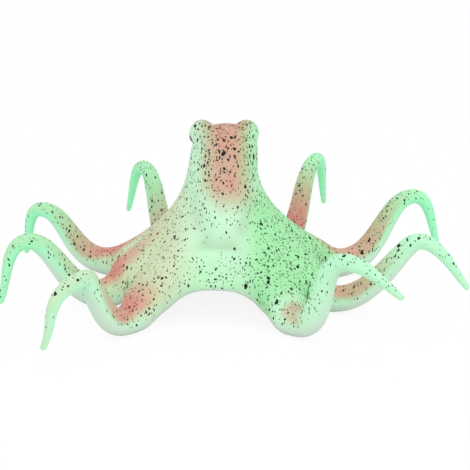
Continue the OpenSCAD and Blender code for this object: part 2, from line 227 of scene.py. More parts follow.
def unit(v):
    """Vectors of the same way, one long."""
    return v / np.linalg.norm(v, axis=-1, keepdims=True)


def mix(a, b, t):
    """From a at t 0 to b at t 1, in a straight line."""
    return a + (b - a) * t


def smoothstep(low, high, x):
    """0 at low and 1 at high, with level ends. It falls where low is the larger."""
    t = np.clip((x - low) / (high - low), 0, 1)
    return t * t * (3 - 2 * t)


def soft_max(a, b, k):
    """The larger of a and b, rounded over a width k where they are near each other."""
    h = np.clip(0.5 + (a - b) / (2 * k), 0, 1)
    return mix(b, a, h) + k * h * (1 - h)


def bezier(p, t):
    """Points at the places t of the cubic Bezier curve with the four handles p."""
    t = np.asarray(t)[:, None]
    u = 1 - t
    return p[0] * u**3 + p[1] * 3 * t * u**2 + p[2] * 3 * t * t * u + p[3] * t**3


def bezier_way(p, t):
    """Unit directions of the same curve."""
    t = np.asarray(t)[:, None]
    u = 1 - t
    return unit((p[1] - p[0]) * u**2 + (p[2] - p[1]) * 2 * t * u + (p[3] - p[2]) * t * t)


def smooth_rows(rows, s):
    """Rows of a table at the places s from 0 to 1, on a curve through all its rows.

    Between two rows it is the cubic whose slope at each row is half the step from the row
    before to the row after.
    """
    last = len(rows) - 1
    x = np.clip(np.asarray(s) * last, 0, last)
    k = np.minimum(x.astype(int), last - 1)
    t = (x - k)[:, None]
    padded = np.vstack([2 * rows[0] - rows[1], rows, 2 * rows[-1] - rows[-2]])
    a, b, c, d = padded[k], padded[k + 1], padded[k + 2], padded[k + 3]
    return b + 0.5 * t * (c - a + t * (2 * a - 5 * b + 4 * c - d + t * (3 * (b - c) + d - a)))


# How the airbrush went over each of ARMS: the side of the salmon coat, 90 on top and 0 on the
# side of the larger azimuths, the station where it is strongest, how far it runs along the
# arm, how much it covers there, and how fresh the green of the tip is.
COAT_SIDE = np.array([98.0, 112.0, 104.0, 95.0, 80.0, 72.0, 80.0, 88.0])
COAT_AT = np.array([0.95, 0.5, 0.55, 0.5, 0.8, 0.9, 1.05, 0.98])
COAT_RUN = np.array([0.65, 0.75, 0.85, 0.8, 0.8, 0.85, 0.5, 0.2])
COAT_SHARES = np.array([0.9, 1.05, 1.1, 0.8, 1.25, 0.75, 0.68, 0.45])
FRESH_SHARES = np.array([0.3, 0.9, 1.0, 1.0, 0.9, 1.0, 0.4, 0.4])
TRAITS = np.stack([
    np.cos(np.radians(COAT_SIDE)),
    np.sin(np.radians(COAT_SIDE)),
    COAT_AT,
    COAT_RUN,
    COAT_SHARES,
    FRESH_SHARES,
], axis=1)


class Form:
    """Vertices, faces and what is known at each of them, gathered ring by ring."""

    def __init__(self):
        self.points, self.facts, self.faces, self.parts = [], [], [], []
        self.count = 0

    def add(self, points, arm, along, top, side=0, crease=0):
        """Adds points with the traits of their nearest arm, the station along it, how far they
        lie on its top and on its side of the larger azimuths, and how deep in a crease."""
        points = np.asarray(points, float).reshape(-1, 3)
        n = len(points)
        row = [np.broadcast_to(np.asarray(v, float).ravel(), n) for v in (along, top, side, crease)]
        self.points.append(points)
        self.facts.append(np.column_stack([*row, np.broadcast_to(TRAITS[arm], (n, TRAITS.shape[1]))]))
        self.count += n
        return np.arange(self.count - n, self.count)

    def quads(self, a, b, part):
        """Faces between two closed rings of indices of equal length."""
        self.strip(np.append(a, a[0]), np.append(b, b[0]), part)

    def strip(self, a, b, part):
        """Faces between two open rows of indices of equal length."""
        rows = np.stack([a[:-1], b[:-1], b[1:], a[1:]], axis=1)
        self.faces += rows.tolist()
        self.parts += [part] * len(rows)

    def lid(self, ring, part):
        """One face over a closed ring of indices."""
        self.faces.append(list(ring))
        self.parts.append(part)


# Columns of the web, in the order of rising azimuth: for each arm seven over its ridge,
# then three in the gap to the next arm.
ORDER = np.argsort(ARM_AZ)
SORTED_AZ = ARM_AZ[ORDER]
GAPS = np.diff(np.append(SORTED_AZ, SORTED_AZ[0] + 360))
LOBE_AZ = math.degrees(math.asin(SHOULDER_R / WEB_R))


def make_columns():
    """Azimuth, nearest arm, gap width and place on the ridge of every column."""
    rows = []
    for n, i in enumerate(ORDER):
        before, after = GAPS[n - 1], GAPS[n]
        room_before = min(LOBE_AZ, before / GAP_PARTS)
        room_after = min(LOBE_AZ, after / GAP_PARTS)
        lobes = np.where(LOBE_SHARES < 0, room_before, room_after) * LOBE_SHARES
        for share, lobe in zip(LOBE_SHARES, lobes):
            gap = mix(before, after, 0.5 + 0.5 * share / LOBE_SHARES[-1])
            rows.append((SORTED_AZ[n] + lobe, i, gap, 1))
        start = lobes[-1]
        end = after - room_after * LOBE_SHARES[-1]
        for share in BETWEEN_SHARES:
            nearest = i if share <= 0.5 else ORDER[(n + 1) % len(ORDER)]
            rows.append((SORTED_AZ[n] + mix(start, end, share), nearest, after, 0))
    return [np.array(column) for column in zip(*rows)]


COLUMN_AZ, COLUMN_ARM, COLUMN_GAP, COLUMN_ON_ARM = make_columns()
COLUMN_ARM = COLUMN_ARM.astype(int)
COLUMN_ON_ARM = COLUMN_ON_ARM.astype(bool)
SIGNED_OFF = (COLUMN_AZ - ARM_AZ[COLUMN_ARM] + 180) % 360 - 180
OFF_ARM = np.abs(SIGNED_OFF)
COLUMN_SIDE = np.clip(SIGNED_OFF / LOBE_AZ, -1, 1)
GAP_FULLNESS = np.interp(COLUMN_GAP, GAP_WIDTHS, GAP_REACH_SHARES)
GAP_EDGE_H = np.interp(COLUMN_GAP, GAP_WIDTHS, GAP_H_SHARES) * EDGE_H
GAP_TOP_H = np.interp(COLUMN_GAP, GAP_WIDTHS, GAP_TOP_SHARES) * EDGE_H
RIDGE_W = np.interp(COLUMN_GAP, FLARE_GAPS, RIDGE_SHARES) * SHOULDER_R


def ridge(r):
    """How much of an arm's ridge each column has at radius r: a round crest over the arm.

    It is a power of one less the square of the distance from the arm in ridge half widths.
    """
    d = r * np.sin(np.radians(np.minimum(OFF_ARM, 90))) / RIDGE_W
    return np.where(d < 1, np.maximum(1 - d * d, 0) ** RIDGE_POWER, 0)


SAC_TABLE = smooth_rows(SAC_SHARES, np.linspace(0, 1, SAC_ROWS))


def sac_radius(az, z):
    """Radius of head and mantle at azimuth az and height z.

    Each section is an ellipse with half width w and half depth b whose middle lies c behind
    the axis, and the radius is where the ray at that azimuth leaves it.
    """
    share = (z - MANTLE_LOW_H) / (CROWN_H - MANTLE_LOW_H)
    w, back, face = (np.interp(share, SAC_TABLE[::-1, 0], SAC_TABLE[::-1, k]) for k in (1, 2, 3))
    w = np.maximum(w * HEAD_W / 2, LEAST_SIZE)
    b = np.maximum((back + face) * MANTLE_REACH / 2, LEAST_SIZE)
    c = (back - face) * MANTLE_REACH / 2
    a = np.radians(az)
    qa = (np.sin(a) / w) ** 2 + (np.cos(a) / b) ** 2
    qb = np.cos(a) * c / b**2
    disc = qb**2 - qa * ((c / b) ** 2 - 1)
    inside = (share >= 0) & (disc >= 0)
    return np.where(inside, np.maximum((qb + np.sqrt(np.maximum(disc, 0))) / qa, 0), 0)


def place(r, z):
    """Points of the columns at radius r and height z. The head leans aside as it rises."""
    z = np.broadcast_to(z, COLUMN_AZ.shape)
    p = toward(COLUMN_AZ) * np.broadcast_to(r, COLUMN_AZ.shape)[:, None]
    p[:, 0] += HEAD_SHIFT * np.maximum(0, z - NECK_H) / (CROWN_H - NECK_H)
    p[:, 2] = z
    return p


def flank(s):
    """Radius and height of the web's upper side, from the neck at s 0 to its edge at 1.

    A column goes from the profile between two arms to the profile along an arm by how much
    of the ridge it has.
    """
    valley_r, valley_h, ridge_r, ridge_h = smooth_rows(FLANK_SHARES, [s])[0]
    r0 = valley_r * GAP_FULLNESS
    w = ridge(mix(NECK_R, WEB_R, r0))
    r = mix(NECK_R, WEB_R, mix(r0, ridge_r, w))
    low = mix(GAP_TOP_H, NECK_H, valley_h)
    high = mix(SHOULDER_H * SHOULDER_SHARES[COLUMN_ARM], NECK_H, ridge_h)
    return r, mix(low, high, w)


def station(r):
    """Station of a place on the web: -1 at the neck and 0 at the web's edge."""
    return (r - WEB_R) / (WEB_R - NECK_R)


def make_torso(form):
    """The skin of head, mantle and web, as rings over the columns from the crown down, out
    to the web's edge and back in to the top of the hollow. Returns for each arm the closed
    ring of indices from which its tube goes on.

    A ring's radius is the larger of the sac's and the web's, rounded where they meet.
    """
    rings = []
    neck_share = (NECK_H - MANTLE_LOW_H) / (CROWN_H - MANTLE_LOW_H)
    dense = np.interp(neck_share, SAC_TABLE[::-1, 0], np.linspace(1, 0, len(SAC_TABLE)))
    for s in (np.arange(HEAD_RINGS) + FIRST_RING) / HEAD_RINGS * dense:
        z = mix(MANTLE_LOW_H, CROWN_H, smooth_rows(SAC_SHARES, [s])[0, 0])
        r = sac_radius(COLUMN_AZ, z)
        eased = smoothstep(NECK_H + NECK_EASE, NECK_H, z)
        r = mix(r, soft_max(NECK_R, r, UNION_BLEND), eased)
        rings.append(form.add(place(r, z), COLUMN_ARM, station(r), 0))
    for s in np.linspace(0, 1, FLANK_RINGS):
        r, z = flank(s)
        w = ridge(r)
        sac = sac_radius(COLUMN_AZ, z)
        # How deep each point lies in the crease between mantle and web, which places the painted shade
        # there
        crease = np.where(sac > 0, np.exp(-(((sac - r) / CREASE_W) ** 2)), 0)
        r = soft_max(r, sac, UNION_BLEND)
        rings.append(form.add(place(r, z), COLUMN_ARM, station(r), w, COLUMN_SIDE, crease))
    top_edge = rings[-1]
    r, z = flank(1)
    w = ridge(r)
    low_z = mix(GAP_EDGE_H - WEB_WALL, z - 2 * SHOULDER_R, w)
    low_edge = form.add(place(r - WEB_WALL * (1 - w) * EDGE_SHARE, low_z), COLUMN_ARM, 0, -1)
    for a, b in zip(rings, rings[1:]):
        form.quads(a, b, TORSO)
    form.lid(rings[0], TORSO)

    inner = [low_edge]
    reach = mix(GAP_FULLNESS, 1, ridge(WEB_R))
    top_h = SHOULDER_H * SHOULDER_SHARES[COLUMN_ARM]
    for share_r, share_h in UNDER_SHARES:
        w = ridge(mix(NECK_R, WEB_R, share_r))
        edge_z = mix(GAP_EDGE_H - WEB_WALL, top_h - 2 * SHOULDER_R, w)
        r = mix(HOLLOW_R, WEB_R, share_r * reach)
        z = mix(edge_z, HOLLOW_H, share_h)
        inner.append(form.add(place(r, z), COLUMN_ARM, station(r), -1))
    for share_r, share_h in ROOF_SHARES:
        inner.append(form.add(place(HOLLOW_R * share_r, HOLLOW_H * share_h), COLUMN_ARM, -1, -1))
    for a, b in zip(inner, inner[1:]):
        form.quads(a, b, TORSO)
    form.lid(inner[-1][::-1], TORSO)

    # The edge is closed between the arms and left open where an arm goes on.
    n = len(COLUMN_AZ)
    for k in range(n):
        pair = [k, (k + 1) % n]
        if not COLUMN_ON_ARM[pair].all():
            form.strip(top_edge[pair], low_edge[pair], TORSO)
    starts = {}
    for i in range(len(ARMS)):
        mine = np.nonzero(COLUMN_ON_ARM & (COLUMN_ARM == i))[0]
        starts[i] = np.append(top_edge[mine], low_edge[mine][::-1])
    return starts


def arm_curves(i):
    """Handles of the three cubic Bezier curves of arm i: down to the floor, up to its arch
    and over to its tip.

    The dip stands over its foot in the frame and the arch is at the curl hinge.
    """
    foot = np.array(FEET[f"foot_{ARMS[i]}"]["pos_m"]) / MM - MIDDLE
    arch = np.array(JOINTS[f"curl_{ARMS[i]}"]["pos_m"]) / MM - MIDDLE
    out, turned = toward(ARM_AZ[i]), toward(ARM_AZ[i] + ARM_TURN[i])
    between = toward(ARM_AZ[i] + ARM_TURN[i] / 2)
    up = np.array([0.0, 0.0, 1.0])
    shoulder = out * WEB_R + up * (SHOULDER_H * SHOULDER_SHARES[i] - SHOULDER_R)
    lift = DIP_R * DIP_R_SHARES[i] - FLOOR_FLAT
    dip = foot + up * lift
    tip = dip + turned * (TIP_REACH * TIP_SHARES[i] - np.linalg.norm(foot))
    tip = tip + up * (TIP_H * TIP_H_SHARES[i] - lift)
    run = np.linalg.norm(dip - shoulder)
    drop = [
        shoulder,
        shoulder + (out - up * DROP_SHARE) * run * DROP_SHARE,
        dip - between * run * SETTLE_SHARE,
        dip,
    ]
    run = np.linalg.norm((arch - dip)[:2])
    rise = [dip, dip + between * run * RISE_SHARES[i], arch - turned * run * CREST_SHARES[i], arch]
    run = np.linalg.norm((tip - arch)[:2])
    fall = [
        arch,
        arch + turned * run * OVER_SHARES[i],
        tip - turned * run * FALL_SHARES[0] + up * (arch[2] - tip[2]) * FALL_SHARES[1],
        tip,
    ]
    return np.array(drop), np.array(rise), np.array(fall)


def arm_line(i):
    """Stations, middles, directions, azimuths and radii of the rings along arm i."""
    drop, rise, fall = arm_curves(i)
    t1 = (np.arange(DROP_RINGS) + 1) / DROP_RINGS
    t2 = (np.arange(RISE_RINGS) + 1) / RISE_RINGS
    t3 = (np.arange(FALL_RINGS) + 1) / FALL_RINGS
    middles = np.vstack([bezier(drop, t1), bezier(rise, t2), bezier(fall, t3)])
    half = toward(ARM_AZ[i] + ARM_TURN[i] * t1 / 2)
    ways = np.vstack([half, bezier_way(rise, t2), bezier_way(fall, t3)])
    az = ARM_AZ[i] + ARM_TURN[i] * np.concatenate([t1 / 2, (1 + t2) / 2, np.ones(FALL_RINGS)])
    dip_r = DIP_R * DIP_R_SHARES[i]
    radii = [mix(SHOULDER_R, dip_r, t1**2), mix(dip_r, ARCH_R, t2), mix(ARCH_R, TIP_R, t3)]
    return np.concatenate([t1, 1 + t2, 2 + t3]), middles, ways, az, np.concatenate(radii)


def flares(i, at, middle, r):
    """How far the webbing stands out of a ring of arm i, first on the side of the larger
    azimuths: most at the web and less along the root, never past the middle of the gap."""
    n = int(np.nonzero(ORDER == i)[0][0])
    gaps = np.array([GAPS[n], GAPS[n - 1]])
    reach = FLARE * np.interp(gaps, FLARE_GAPS, (1, 0)) * (1 - smoothstep(*FLARE_RUN, at))
    room = np.hypot(middle[0], middle[1]) * np.sin(np.radians(gaps / 2)) - r - FLARE_ROOM
    return np.minimum(reach, np.maximum(room, 0))


def ring_points(middle, way, az, r, angles, flare=(0, 0)):
    """Points at the given angles of a circle round middle, square to way, drawn out level by
    the flare of their side. Angle 0 lies on the side of the larger azimuths and 90 on top."""
    side = across(az)
    side = unit(side - way * (side * way).sum(-1, keepdims=True))
    up = np.cross(way, side)
    a = np.radians(angles)[:, None]
    c = np.cos(a)
    out = c * (r + np.where(c > 0, flare[0], flare[1]))
    return middle + out * side + r * np.sin(a) * up


def part_at(i, s):
    """The part that the skin belongs to at station s of arm i."""
    if s <= LIMB_FROM:
        return TORSO
    return LIMBS + i if s <= TIP_FROM else TIPS + i


def make_arm(form, i, start):
    """The tube of arm i, from its open ring in the web to a round closed tip.

    Each ring is a circle square to the arm's middle line, and the last ones lie on a half
    sphere.
    """
    n = len(start)
    angles = 180 - 360 * (np.arange(n) + 0.5) / n
    top, side = np.sin(np.radians(angles)), np.cos(np.radians(angles))
    # Subdivision draws a ring of n points in by this share, which the radii make up for.
    drawn = (2 + math.cos(2 * math.pi / n)) / 3
    last = start
    stations, middles, ways, az, radii = arm_line(i)
    for s, middle, way, a, r in zip(stations, middles, ways, az, radii):
        points = ring_points(middle, way, a, r / drawn, angles, flares(i, s, middle, r))
        ring = form.add(points, i, s, top, side)
        form.quads(last, ring, part_at(i, s))
        last = ring
    # The last ring stops half a step short of the pole, where the lid closes the tip.
    for k in range(1, END_RINGS + 1):
        a = math.radians(90 * k / (END_RINGS + 0.5))
        middle = middles[-1] + ways[-1] * TIP_R * math.sin(a)
        r = TIP_R * math.cos(a) / drawn
        ring = form.add(ring_points(middle, ways[-1], az[-1], r, angles), i, 3, top, side)
        form.quads(last, ring, TIPS + i)
        last = ring
    form.lid(last[::-1], TIPS + i)


def subdivided(form):
    """The form after Catmull-Clark subdivision: points, facts, quads and their parts."""
    mesh = bpy.data.meshes.new("form")
    mesh.from_pydata(np.vstack(form.points).tolist(), [], form.faces)
    mesh.polygons.foreach_set("material_index", form.parts)
    facts = np.vstack(form.facts)
    for k in range(facts.shape[1]):
        mesh.attributes.new(f"fact_{k}", "FLOAT", "POINT").data.foreach_set("value", facts[:, k])
    carrier = bpy.data.objects.new("form", mesh)
    bpy.context.collection.objects.link(carrier)
    modifier = carrier.modifiers.new("rounding", "SUBSURF")
    modifier.levels = modifier.render_levels = LEVELS
    fine = carrier.evaluated_get(bpy.context.evaluated_depsgraph_get()).to_mesh()
    points = np.empty(len(fine.vertices) * 3)
    fine.vertices.foreach_get("co", points)
    columns = []
    for k in range(facts.shape[1]):
        values = np.empty(len(fine.vertices))
        fine.attributes[f"fact_{k}"].data.foreach_get("value", values)
        columns.append(values)
    corners = np.empty(len(fine.loops), int)
    fine.loops.foreach_get("vertex_index", corners)
    parts = np.empty(len(fine.polygons), int)
    fine.polygons.foreach_get("material_index", parts)
    bpy.data.objects.remove(carrier)
    bpy.data.meshes.remove(mesh)
    return points.reshape(-1, 3), np.stack(columns, axis=1), corners.reshape(-1, 4), parts


def swell_mounds(p):
    """Pushes the skin of the head out over the two eye mounds.

    Each point moves along its ray from the head's core to where the ray leaves the mound's
    sphere, if that is farther out, and the two are blended.
    """
    core = np.array(HEAD_CORE)
    ray = p - core
    reach = np.linalg.norm(ray, axis=1)
    way = ray / reach[:, None]
    for x in MOUND_X:
        back = core - np.array([x, 0, MOUND_H])
        b = way @ back
        disc = b * b - (back @ back - MOUND_R**2)
        exit_at = np.where(disc > 0, -b + np.sqrt(np.maximum(disc, 0)), 0)
        near = (p[:, 2] > HEAD_CORE[2]) & (disc > 0) & (b < 0)
        reach = np.where(near, soft_max(reach, exit_at, MOUND_BLEND), reach)
    return core + way * reach[:, None]


def press_sockets(p):
    """Sinks a round socket for each bead into its mound and raises a soft lid round it.

    Points move along the eye's axis by their distance q from it: in by a step that is whole
    on the socket's flat and nil at its rim, and out by a bell round the rim.
    """
    for x, az in zip(MOUND_X, EYE_AZ):
        tilt = math.radians(EYE_TILT)
        axis = toward(np.array(az)) * math.cos(tilt) - np.array([0, 0, math.sin(tilt)])
        off = p - np.array([x, 0, MOUND_H])
        along = off @ axis
        q = np.linalg.norm(off - along[:, None] * axis, axis=1)
        on = (along > 0) & (np.linalg.norm(off, axis=1) < 2 * MOUND_R)
        rim = EYE_RIM_H * np.exp(-(((q - EYE_RIM_R) / EYE_RIM_W) ** 2))
        sink = SOCKET_DEPTH * (1 - smoothstep(SOCKET_FLAT * SOCKET_R, SOCKET_R, q))
        p = p + np.where(on, rim - sink, 0)[:, None] * axis
    return p


def rest_on_floor(p):
    """The floor flattens what would lie below it."""
    p[:, 2] = np.maximum(p[:, 2], 0)
    return p


def point_normals(p, quads):
    """Normals at the points: the sum of the faces' own, each as long as twice its area."""
    a, b, c, d = (p[quads[:, k]] for k in range(4))
    faces = np.cross(c - a, d - b)
    normals = np.zeros_like(p)
    for k in range(4):
        np.add.at(normals, quads[:, k], faces)
    return unit(normals)


def build_skin():
    """Points, facts, faces and parts of the whole skin."""
    form = Form()
    starts = make_torso(form)
    for i in range(len(ARMS)):
        make_arm(form, i, starts[i])
    points, facts, quads, parts = subdivided(form)
    points = rest_on_floor(press_sockets(swell_mounds(points)))
    return points, facts, quads, parts


POINTS, FACTS, QUADS, PARTS = build_skin()
NORMALS = point_normals(POINTS, QUADS)


# Finishes


def linear(code):
    """An sRGB hex colour as linear red, green, blue and full alpha."""
    parts = [int(code[k:k + 2], 16) / 255 for k in (1, 3, 5)]
    return [v / 12.92 if v <= 0.04045 else ((v + 0.055) / 1.055) ** 2.4 for v in parts] + [1.0]


def new_material(name):
    """A material with nodes, its tree and its shader."""
    material = bpy.data.materials.new(name)
    material.use_nodes = True
    return material, material.node_tree, material.node_tree.nodes["Principled BSDF"]


def add(tree, kind, settings=None, links=None):
    """A node of that kind. Settings are its own properties, or inputs by name or number when
    no property has the name; links are inputs that read another node's output."""
    node = tree.nodes.new(kind)
    for key, value in (settings or {}).items():
        if isinstance(key, str) and hasattr(node, key):
            setattr(node, key, value)
        else:
            node.inputs[key].default_value = value
    for key, source in (links or {}).items():
        tree.links.new(source, node.inputs[key])
    return node


# Green and tan coats in the order they are laid, each where its mask says: the tips' fresh green, the
# leaf green of the right side, sand on the left side, a brown darkening at the crown that is partly a
# haze of spray and partly painted shade, painted shade in the crease under the mantle, the pale
# underside, and ochre where salmon thins out.
BASE_COAT = "#CDF8D5"
COATS = (
    ("fresh", "#A6FFC8"),
    ("leaf", "#9CE8A2"),
    ("sand", "#D6DDB4"),
    # A brown darkening at the crown, partly a haze of spray and partly painted shade
    ("crown_haze_and_shade", "#A49A78"),
    # Olive painted shade for the crease under the mantle
    ("crease_shade", "#A3B48C"),
    ("pale", "#D8EADA"),
    ("ochre", "#B4B268"),
)
SALMON = "#DA8C80"
# Flecks of black spatter, in mm: the cell that holds one fleck at most, the largest radius,
# the share of cells that have one, and the colour and cover of its ink.
SPATTER = (
    (0.8, 0.3, 0.85, "#24362A", 0.95),
    (1.25, 0.42, 0.6, "#121C16", 1.0),
    (2.5, 0.66, 0.4, "#0A120C", 1.0),
)
# How much shorter the pattern of flecks is drawn up and down, which makes each fleck longer
DRIP = (1.0, 1.0, 0.62)
# The width in mm of a fleck's edge, and how fast flecks grow to their full size
SPATTER_EDGE = 0.1
SPATTER_RISE = 5.0
# How far and at what size flecks are pulled out of round, in mm
SMEAR = 1.2
SMEAR_SIZE = 1.6
# The airbrush's clouds and its finest drops, in mm, and how much each varies the coat
CLOUD_SIZE = 5.0
CLOUD_SHARE = 0.6
DROP_SIZE = 0.5
DROP_VARIES = 0.9
# The mould's fine orange peel: grain size and height in mm
PEEL_SIZE = 0.6
PEEL_H = 0.03
# Roughness at least, and how much more clouds give it
SATIN_ROUGH = 0.46
SATIN_VARIES = 0.16
# The haze on a bead: its size in mm, roughness at least and how much more it gives
HAZE_SIZE = 1.25
HAZE_ROUGH = 0.04
HAZE_VARIES = 0.08
BEAD_COLOURS = ("#070809", "#14171A")


def spatter(tree, place_at, density, cell, radius, share):
    """How much ink one size of fleck lays at a point.

    The skin cuts through a cloud of balls, one at most in each cell. A cell has one where its
    random number is under the share times the density, and a ball is small where it only
    just is.
    """
    math_node = "ShaderNodeMath"
    scale = {"operation": "SCALE", "Scale": 1 / cell}
    scaled = add(tree, "ShaderNodeVectorMath", scale, {0: place_at})
    cells = add(tree, "ShaderNodeTexVoronoi", {"Scale": 1.0}, {"Vector": scaled.outputs[0]})
    lot = add(tree, "ShaderNodeSeparateColor", {}, {0: cells.outputs["Color"]})
    chance = add(tree, math_node, {"operation": "MULTIPLY", 1: share}, {0: density})
    won = add(tree, math_node, {"operation": "SUBTRACT"}, {0: chance.outputs[0], 1: lot.outputs[0]})
    rise = {"operation": "MULTIPLY", "use_clamp": True, 1: SPATTER_RISE}
    grown = add(tree, math_node, rise, {0: won.outputs[0]})
    size = add(tree, math_node, {"operation": "MULTIPLY", 1: radius / cell}, {0: grown.outputs[0]})
    off = cells.outputs["Distance"]
    inside = add(tree, math_node, {"operation": "SUBTRACT"}, {0: size.outputs[0], 1: off})
    edge = {"operation": "MULTIPLY", "use_clamp": True, 1: cell / SPATTER_EDGE}
    return add(tree, math_node, edge, {0: inside.outputs[0]}).outputs[0]


def soft_rubber():
    """Moulded silicone rubber, airbrushed: a satin, slightly waxy skin in pale mint green that is
    salmon where the spray was aimed, whitish underneath and speckled with black, with painted shade in
    the crease under the mantle and over the crown."""
    material, tree, shader = new_material("moulded_silicone_rubber")
    place_at = add(tree, "ShaderNodeAttribute", {"attribute_name": "rest_place"}).outputs["Vector"]
    to_mm = {"operation": "SCALE", "Scale": 1 / MM}
    in_mm = {"Vector": add(tree, "ShaderNodeVectorMath", to_mm, {0: place_at}).outputs[0]}
    mask = {}
    for name in MASKS:
        mask[name] = add(tree, "ShaderNodeAttribute", {"attribute_name": name}).outputs["Fac"]
    cloud = add(tree, "ShaderNodeTexNoise", {"Scale": 1 / CLOUD_SIZE, "Detail": 4.0}, in_mm).outputs[0]
    drops = add(tree, "ShaderNodeTexNoise", {"Scale": 1 / DROP_SIZE, "Detail": 1.0}, in_mm).outputs[0]

    colour = add(tree, "ShaderNodeRGB").outputs[0]
    colour.default_value = linear(BASE_COAT)
    for name, code in COATS:
        paint = {"data_type": "RGBA", 7: linear(code)}
        colour = add(tree, "ShaderNodeMix", paint, {0: mask[name], 6: colour}).outputs[2]

    # Clouds and drops vary the salmon coat round its full strength.
    clouds = {"operation": "MULTIPLY_ADD", 1: CLOUD_SHARE, 2: 1 - (CLOUD_SHARE + DROP_VARIES) / 2}
    uneven = add(tree, "ShaderNodeMath", clouds, {0: cloud}).outputs[0]
    fine = {"operation": "MULTIPLY_ADD", 1: DROP_VARIES}
    uneven = add(tree, "ShaderNodeMath", fine, {0: drops, 2: uneven}).outputs[0]
    whole = {"operation": "MULTIPLY", "use_clamp": True}
    salmon = add(tree, "ShaderNodeMath", whole, {0: mask["blush"], 1: uneven}).outputs[0]
    paint = {"data_type": "RGBA", 7: linear(SALMON)}
    colour = add(tree, "ShaderNodeMix", paint, {0: salmon, 6: colour}).outputs[2]

    # Spatter, on a place that noise pulls about.
    smear = add(tree, "ShaderNodeTexNoise", {"Scale": 1 / SMEAR_SIZE, "Detail": 1.0}, in_mm)
    pull = {"operation": "MULTIPLY_ADD", 1: (SMEAR, SMEAR, SMEAR)}
    links = {0: smear.outputs["Color"], 2: in_mm["Vector"]}
    pulled = add(tree, "ShaderNodeVectorMath", pull, links).outputs[0]
    drip = {"operation": "MULTIPLY", 1: DRIP}
    pulled = add(tree, "ShaderNodeVectorMath", drip, {0: pulled}).outputs[0]
    for cell, radius, share, code, cover in SPATTER:
        ink = spatter(tree, pulled, mask["flecks"], cell, radius, share)
        ink = add(tree, "ShaderNodeMath", {"operation": "MULTIPLY", 1: cover}, {0: ink}).outputs[0]
        paint = {"data_type": "RGBA", 7: linear(code)}
        colour = add(tree, "ShaderNodeMix", paint, {0: ink, 6: colour}).outputs[2]
    tree.links.new(colour, shader.inputs["Base Color"])

    peel = add(tree, "ShaderNodeTexNoise", {"Scale": 1 / PEEL_SIZE, "Detail": 2.0}, in_mm)
    height = {"Strength": 1.0, "Distance": PEEL_H * MM}
    bump = add(tree, "ShaderNodeBump", height, {"Height": peel.outputs[0]})
    tree.links.new(bump.outputs[0], shader.inputs["Normal"])
    satin = {"operation": "MULTIPLY_ADD", 1: SATIN_VARIES, 2: SATIN_ROUGH}
    rough = add(tree, "ShaderNodeMath", satin, {0: cloud})
    tree.links.new(rough.outputs[0], shader.inputs["Roughness"])
    # Silicone's own index, with less of a shine than clean rubber has, because paint lies on it
    shader.inputs["IOR"].default_value = 1.43
    shader.inputs["Specular IOR Level"].default_value = 0.3
    return material


def gloss_black():
    """Polished black plastic bead: a hard wet shine with the faintest haze of handling."""
    material, tree, shader = new_material("polished_black_bead")
    place_at = add(tree, "ShaderNodeTexCoord").outputs["Object"]
    grain = {"Scale": 1 / (HAZE_SIZE * MM), "Detail": 2.0}
    haze = add(tree, "ShaderNodeTexNoise", grain, {"Vector": place_at}).outputs[0]
    handling = {"operation": "MULTIPLY_ADD", 1: HAZE_VARIES, 2: HAZE_ROUGH}
    rough = add(tree, "ShaderNodeMath", handling, {0: haze})
    black, grey = BEAD_COLOURS
    tint = {"data_type": "RGBA", 6: linear(black), 7: linear(grey)}
    colour = add(tree, "ShaderNodeMix", tint, {0: haze})
    tree.links.new(colour.outputs[2], shader.inputs["Base Color"])
    tree.links.new(rough.outputs[0], shader.inputs["Roughness"])
    return material


# How far up an arm's section the salmon ends on the root and on the rising limb, the
# stations between which that turns, and how soft its edge is
COAT_EDGE = (0.2, -0.5)
COAT_TURNS = (0.9, 1.3)
COAT_SOFT = 0.7
# How squarely the salmon ends along an arm and beside the stripe
COAT_POWER = 3
# The salmon stripe on the back of the head: its middle at its foot and above it, how far it
# runs to either side at its foot and at the crown, and the heights where it begins and where
# it narrows
BACK_X = (4.8, 1.3)
BACK_RUN = (6.9, 5.9)
BACK_LOW = (32.0, 44.0)
BACK_NARROWS = (50, 58)
# How much ochre comes with the salmon, times its cover and what it leaves bare
OCHRE_SHARE = 1.2
# How thick the spatter is at some stations along web and arm, and on the plain web
FLECKS_AT = (-1.0, 0.2, 1.2, 2.0, 3.0)
FLECKS_SHARES = (1.0, 1.05, 1.05, 0.9, 0.5)
FLECKS_WEB = 0.66
# Height of the bare band at the mantle's lower end, and how far it runs up and down
BARE_H = 24.5
BARE_RUN = 4.2
